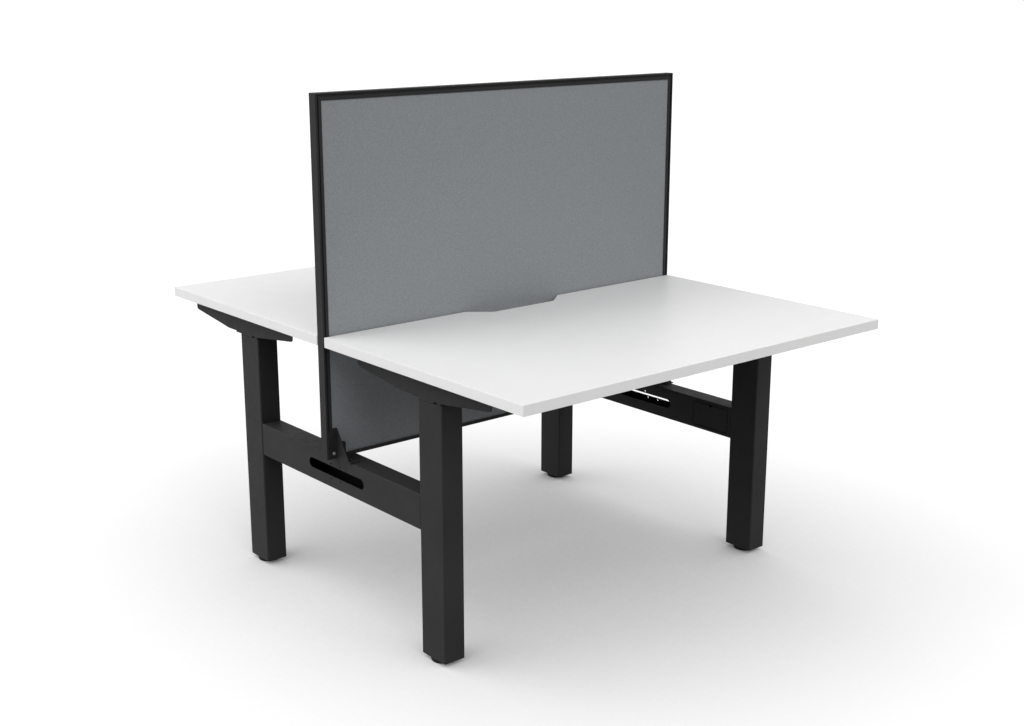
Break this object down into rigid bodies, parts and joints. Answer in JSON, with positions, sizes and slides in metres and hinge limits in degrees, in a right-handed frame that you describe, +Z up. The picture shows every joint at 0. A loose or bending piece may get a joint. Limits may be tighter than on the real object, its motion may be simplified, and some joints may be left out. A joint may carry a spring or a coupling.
{
  "type": "benching desk for two",
  "caption": "Back-to-back sit-stand bench: white tops on electric lifting columns, black end frames and a fixed fabric screen between.",
  "frame": {"origin": "on the floor under the middle of the bench", "axes": "+Z up, +X along the width of the desks and the screen, +Y from the front desk to the rear desk"},
  "size_m": [1.2, 1.53, 1.3118],
  "materials": {
    "laminate": "matt white melamine on board",
    "powder_coat": "fine black powder coat",
    "inner_coat": "smooth black powder coat",
    "bracket_coat": "fine black powder coat",
    "screen_frame": "satin black coated extrusion",
    "fabric": "grey woven screen fabric",
    "board": "raw board",
    "cover_plastic": "matt black",
    "foot_plastic": "matt black",
    "nylon": "black nylon",
    "steel": "bright turned steel",
    "motor_coat": "dark grey die cast",
    "casing": "fine textured black",
    "paddle": "smooth dark grey"
  },
  "bodies": {
    "frame": {"front_left_outer_column": "powder_coat", "front_right_outer_column": "powder_coat", "rear_left_outer_column": "powder_coat", "rear_right_outer_column": "powder_coat", "front_left_glide_bush": "nylon", "front_right_glide_bush": "nylon", "rear_left_glide_bush": "nylon", "rear_right_glide_bush": "nylon", "front_left_nut_tube": "steel", "front_right_nut_tube": "steel", "rear_left_nut_tube": "steel", "rear_right_nut_tube": "steel", "left_beam": "powder_coat", "left_beam_front_cover": "cover_plastic", "left_beam_rear_cover": "cover_plastic", "left_screen_bracket": "bracket_coat", "right_beam": "powder_coat", "right_beam_front_cover": "cover_plastic", "right_beam_rear_cover": "cover_plastic", "right_screen_bracket": "bracket_coat", "screen_bottom_rail": "screen_frame", "screen_right_post": "screen_frame", "screen_top_rail": "screen_frame", "screen_left_post": "screen_frame", "screen_core": "board", "screen_front_fabric": "fabric", "screen_rear_fabric": "fabric"},
    "front_desk": {"front_desktop": "laminate", "front_left_arm": "powder_coat", "front_left_inner_column": "inner_coat", "front_left_gear_motor": "motor_coat", "front_right_arm": "powder_coat", "front_right_inner_column": "inner_coat", "front_right_gear_motor": "motor_coat", "front_desk_outer_rail": "powder_coat", "front_desk_inner_rail": "powder_coat", "front_control_box": "casing", "front_handset": "casing"},
    "rear_desk": {"rear_desktop": "laminate", "rear_left_arm": "powder_coat", "rear_left_inner_column": "inner_coat", "rear_left_gear_motor": "motor_coat", "rear_right_arm": "powder_coat", "rear_right_inner_column": "inner_coat", "rear_right_gear_motor": "motor_coat", "rear_desk_outer_rail": "powder_coat", "rear_desk_inner_rail": "powder_coat", "rear_control_box": "casing", "rear_handset": "casing"},
    "front_left_spindle": {"front_left_spindle": "steel"},
    "front_right_spindle": {"front_right_spindle": "steel"},
    "rear_left_spindle": {"rear_left_spindle": "steel"},
    "rear_right_spindle": {"rear_right_spindle": "steel"},
    "front_paddle": {"front_handset_paddle": "paddle"},
    "rear_paddle": {"rear_handset_paddle": "paddle"},
    "front_left_foot": {"front_left_foot": "foot_plastic"},
    "front_right_foot": {"front_right_foot": "foot_plastic"},
    "rear_left_foot": {"rear_left_foot": "foot_plastic"},
    "rear_right_foot": {"rear_right_foot": "foot_plastic"}
  },
  "joints": [
    {"name": "front_desk_lift", "type": "slide", "parent": "frame", "child": "front_desk", "axis": [0, 0, 1], "range_m": [0, 0.48]},
    {"name": "rear_desk_lift", "type": "slide", "parent": "frame", "child": "rear_desk", "axis": [0, 0, 1], "range_m": [0, 0.48]},
    {"name": "front_left_spindle_turn", "type": "hinge", "parent": "front_desk", "child": "front_left_spindle", "pos_m": [-0.54, -0.403, 0.3], "axis": [0, 0, 1], "range_deg": [0, 17280]},
    {"name": "front_right_spindle_turn", "type": "hinge", "parent": "front_desk", "child": "front_right_spindle", "pos_m": [0.54, -0.403, 0.3], "axis": [0, 0, 1], "range_deg": [0, 17280]},
    {"name": "rear_left_spindle_turn", "type": "hinge", "parent": "rear_desk", "child": "rear_left_spindle", "pos_m": [-0.54, 0.403, 0.3], "axis": [0, 0, 1], "range_deg": [0, 17280]},
    {"name": "rear_right_spindle_turn", "type": "hinge", "parent": "rear_desk", "child": "rear_right_spindle", "pos_m": [0.54, 0.403, 0.3], "axis": [0, 0, 1], "range_deg": [0, 17280]},
    {"name": "front_paddle_rock", "type": "hinge", "parent": "front_desk", "child": "front_paddle", "pos_m": [0.35, -0.696, 0.6903], "axis": [1, 0, 0], "range_deg": [-8, 8], "stiffness_Nm_per_rad": 0.4},
    {"name": "rear_paddle_rock", "type": "hinge", "parent": "rear_desk", "child": "rear_paddle", "pos_m": [-0.35, 0.696, 0.6903], "axis": [1, 0, 0], "range_deg": [-8, 8], "stiffness_Nm_per_rad": 0.4},
    {"name": "front_left_foot_level", "type": "slide", "parent": "frame", "child": "front_left_foot", "axis": [0, 0, -1], "range_m": [0, 0.015]},
    {"name": "front_right_foot_level", "type": "slide", "parent": "frame", "child": "front_right_foot", "axis": [0, 0, -1], "range_m": [0, 0.015]},
    {"name": "rear_left_foot_level", "type": "slide", "parent": "frame", "child": "rear_left_foot", "axis": [0, 0, -1], "range_m": [0, 0.015]},
    {"name": "rear_right_foot_level", "type": "slide", "parent": "frame", "child": "rear_right_foot", "axis": [0, 0, -1], "range_m": [0, 0.015]}
  ],
  "couplings": [
    {"joint": "front_left_spindle_turn", "follows": "front_desk_lift", "rad_per_m": 628.32},
    {"joint": "front_right_spindle_turn", "follows": "front_desk_lift", "rad_per_m": 628.32},
    {"joint": "rear_left_spindle_turn", "follows": "rear_desk_lift", "rad_per_m": 628.32},
    {"joint": "rear_right_spindle_turn", "follows": "rear_desk_lift", "rad_per_m": 628.32}
  ]
}
